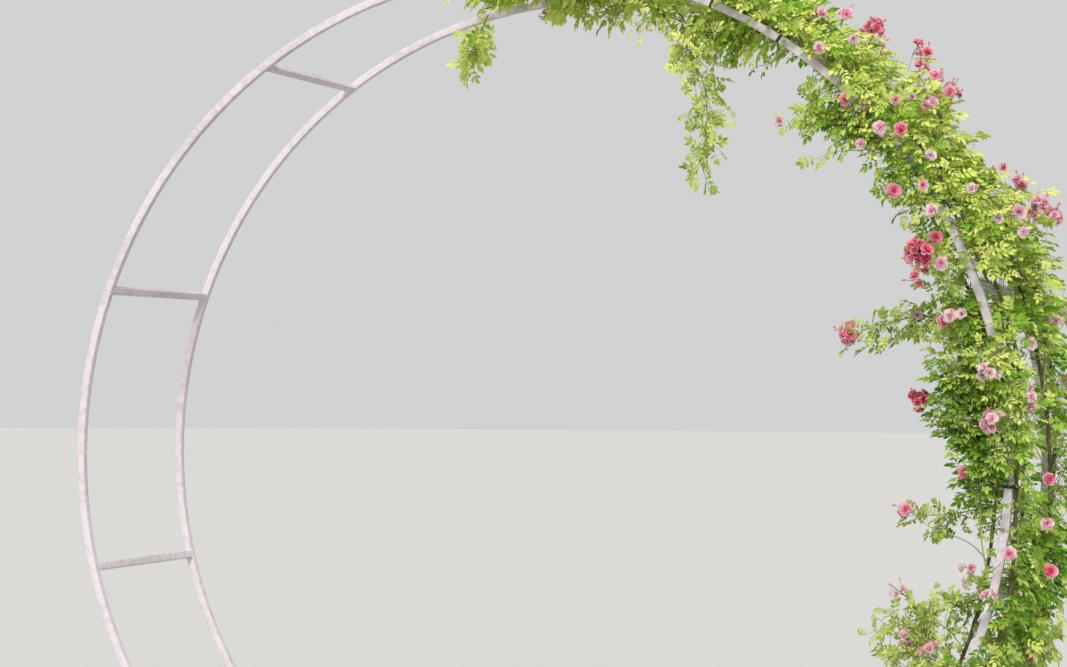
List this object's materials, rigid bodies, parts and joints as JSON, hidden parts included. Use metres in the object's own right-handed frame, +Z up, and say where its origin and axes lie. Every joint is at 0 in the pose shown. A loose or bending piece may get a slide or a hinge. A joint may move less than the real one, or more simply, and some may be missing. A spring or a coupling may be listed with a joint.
{
  "type": "floral moon arch",
  "caption": "Round walk-through garden arch of two steel tube rings joined by crossbars, with climbing roses tied over one side.",
  "frame": {"origin": "on the ground under the middle of the whole arch, roses included", "axes": "+X across the arch towards the side with the roses, +Z up, front towards -Y"},
  "size_m": [3.222, 0.9556, 2.8566],
  "materials": {
    "paint": "satin",
    "leaf": "satin",
    "bark": "matte",
    "rose": "matte",
    "tie": "matte"
  },
  "bodies": {
    "root": {"front_ring_right_upper": "paint", "front_ring_right_lower": "paint", "front_ring_left_upper": "paint", "front_ring_left_lower": "paint", "back_ring_right_upper": "paint", "back_ring_right_lower": "paint", "back_ring_left_upper": "paint", "back_ring_left_lower": "paint", "foot_crossbar_left": "paint", "crossbar_left_3": "paint", "crossbar_left_2": "paint", "crossbar_left_1": "paint", "crossbar_top": "paint", "crossbar_right_1": "paint", "crossbar_right_2": "paint", "crossbar_right_3": "paint", "foot_crossbar_right": "paint", "cane_front_outer": "bark", "cane_middle_outer": "bark", "cane_back_outer": "bark", "cane_back_inner": "bark", "cane_front_inner": "bark", "tie_front_low": "tie", "tie_front_middle": "tie", "tie_front_high": "tie", "tie_front_top": "tie", "tie_back_low": "tie", "tie_back_middle": "tie", "tie_back_high": "tie", "tie_back_top": "tie", "roses_high_outer": "rose", "roses_high_front": "rose", "roses_deep_pink": "rose", "roses_right_outer": "rose", "roses_inner_middle": "rose", "roses_front_middle": "rose", "roses_front_low": "rose", "roses_spray_end": "rose", "spray_top_left": "leaf", "spray_hanging": "leaf", "spray_inner": "leaf", "spray_middle": "leaf", "spray_low": "leaf", "foliage_1": "leaf", "foliage_2": "leaf", "foliage_3": "leaf", "foliage_4": "leaf", "foliage_5": "leaf", "foliage_6": "leaf", "foliage_7": "leaf", "foliage_8": "leaf"}
  },
  "joints": []
}
